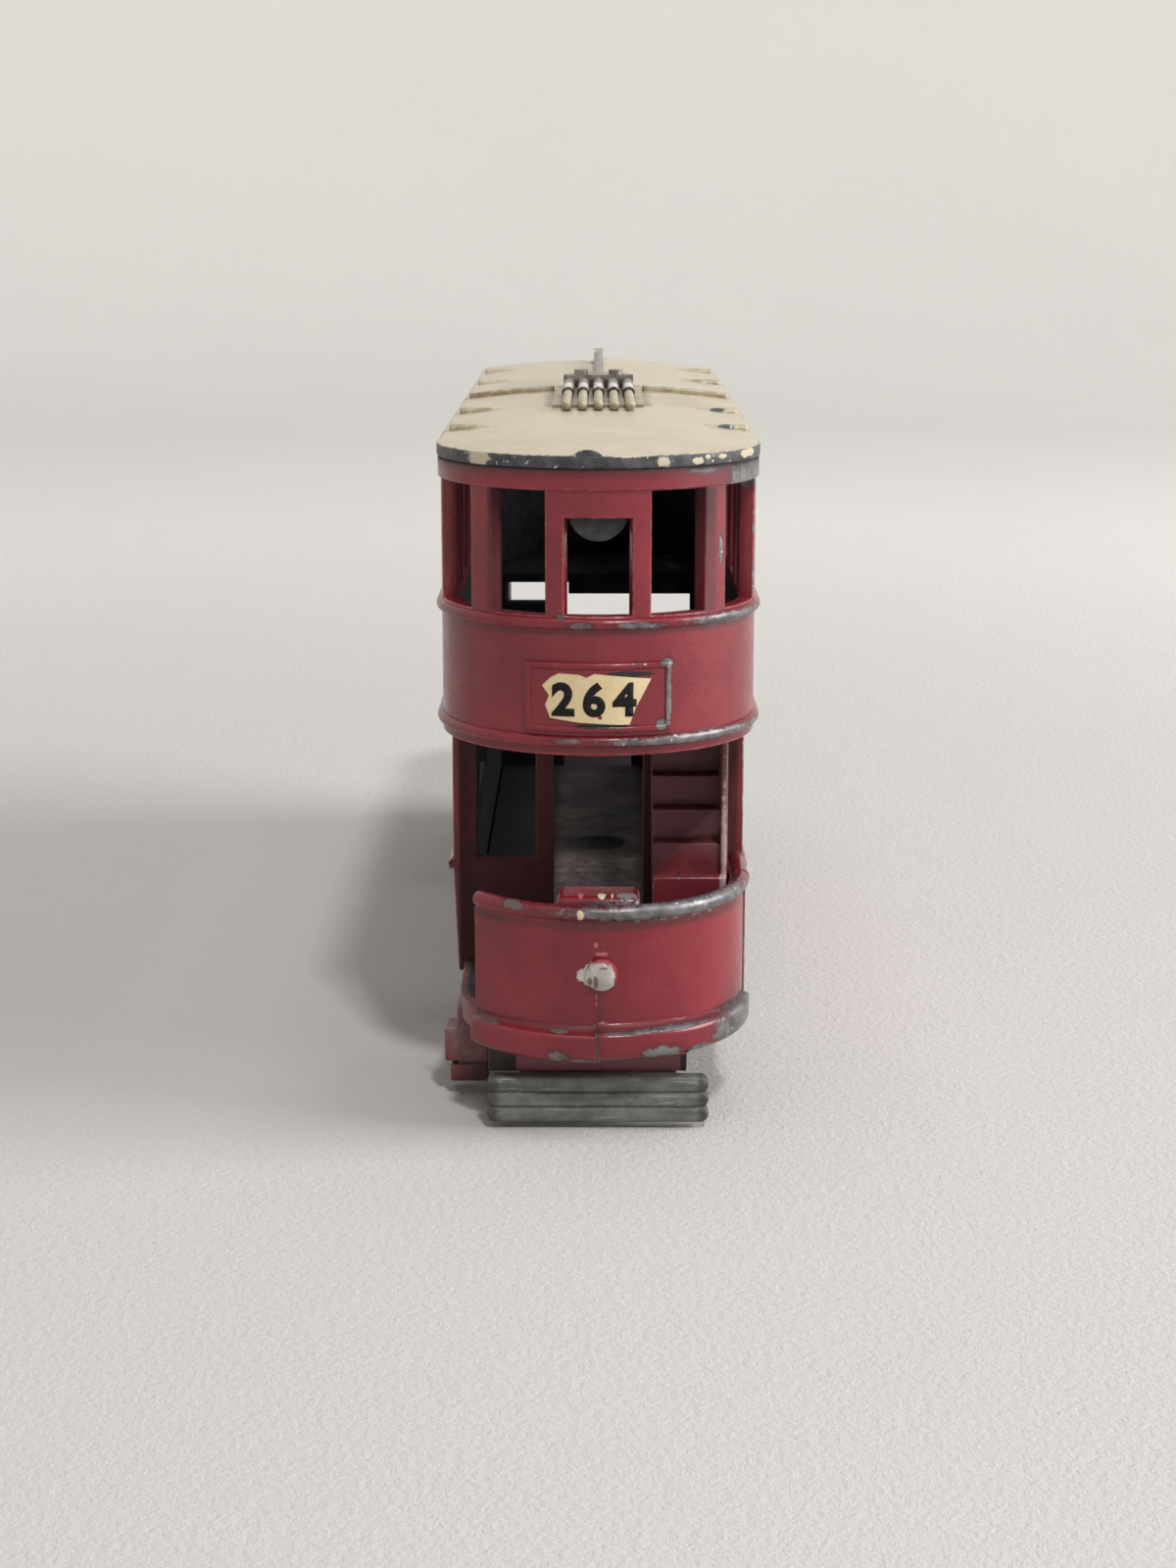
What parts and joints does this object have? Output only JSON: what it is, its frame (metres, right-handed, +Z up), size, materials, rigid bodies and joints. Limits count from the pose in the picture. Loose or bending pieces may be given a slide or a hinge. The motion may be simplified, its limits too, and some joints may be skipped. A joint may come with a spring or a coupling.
{
  "type": "toy tram",
  "caption": "Die-cast double-deck toy tram with open round-ended platforms, staircases, windowed upper deck, cambered roof with trolley gear, and a base plate on free-turning axles.",
  "frame": {"origin": "on the ground, midway between the two axles and on the tram's centre line", "axes": "+Z up, -Y towards the end whose face is in the picture, +X to the right when looking at that end"},
  "size_m": [0.0172, 0.0786, 0.0379],
  "materials": {
    "red_paint": "glossy crimson enamel, worn to grey metal on its edges",
    "cream_paint": "glossy cream enamel, stained, worn to grey metal along its edge",
    "bright_zinc": "cream enamel rubbed through to bright metal",
    "grey_zinc": "dull dark grey casting",
    "silver_paint": "silver enamel",
    "label_paper": "aged cream paper with a plain black number",
    "axle_steel": "drawn steel wire",
    "wheel_metal": "dull grey casting, bright on the tread"
  },
  "bodies": {
    "tram_body": {"lower_body": "red_paint", "upper_deck": "red_paint", "roof": "cream_paint", "trolley_base": "bright_zinc", "trolley_pole": "bright_zinc", "base_plate": "grey_zinc", "front_lifeguard": "grey_zinc", "rear_lifeguard": "grey_zinc", "front_staircase": "red_paint", "rear_staircase": "red_paint", "front_headlamp": "silver_paint", "rear_headlamp": "silver_paint", "front_destination_label": "label_paper", "rear_destination_label": "label_paper", "front_base_rivet": "grey_zinc", "rear_base_rivet": "grey_zinc"},
    "front_axle": {"front_axle": "axle_steel"},
    "rear_axle": {"rear_axle": "axle_steel"},
    "front_left_wheel": {"front_left_wheel": "wheel_metal"},
    "front_right_wheel": {"front_right_wheel": "wheel_metal"},
    "rear_left_wheel": {"rear_left_wheel": "wheel_metal"},
    "rear_right_wheel": {"rear_right_wheel": "wheel_metal"}
  },
  "joints": [
    {"name": "front_axle_turn", "type": "hinge", "parent": "tram_body", "child": "front_axle", "pos_m": [0, -0.017, 0.00275], "axis": [1, 0, 0], "continuous": true},
    {"name": "rear_axle_turn", "type": "hinge", "parent": "tram_body", "child": "rear_axle", "pos_m": [0, 0.017, 0.00275], "axis": [1, 0, 0], "continuous": true},
    {"name": "front_left_wheel_spin", "type": "hinge", "parent": "front_axle", "child": "front_left_wheel", "pos_m": [-0.005, -0.017, 0.00275], "axis": [1, 0, 0], "continuous": true},
    {"name": "front_right_wheel_spin", "type": "hinge", "parent": "front_axle", "child": "front_right_wheel", "pos_m": [0.005, -0.017, 0.00275], "axis": [1, 0, 0], "continuous": true},
    {"name": "rear_left_wheel_spin", "type": "hinge", "parent": "rear_axle", "child": "rear_left_wheel", "pos_m": [-0.005, 0.017, 0.00275], "axis": [1, 0, 0], "continuous": true},
    {"name": "rear_right_wheel_spin", "type": "hinge", "parent": "rear_axle", "child": "rear_right_wheel", "pos_m": [0.005, 0.017, 0.00275], "axis": [1, 0, 0], "continuous": true}
  ]
}
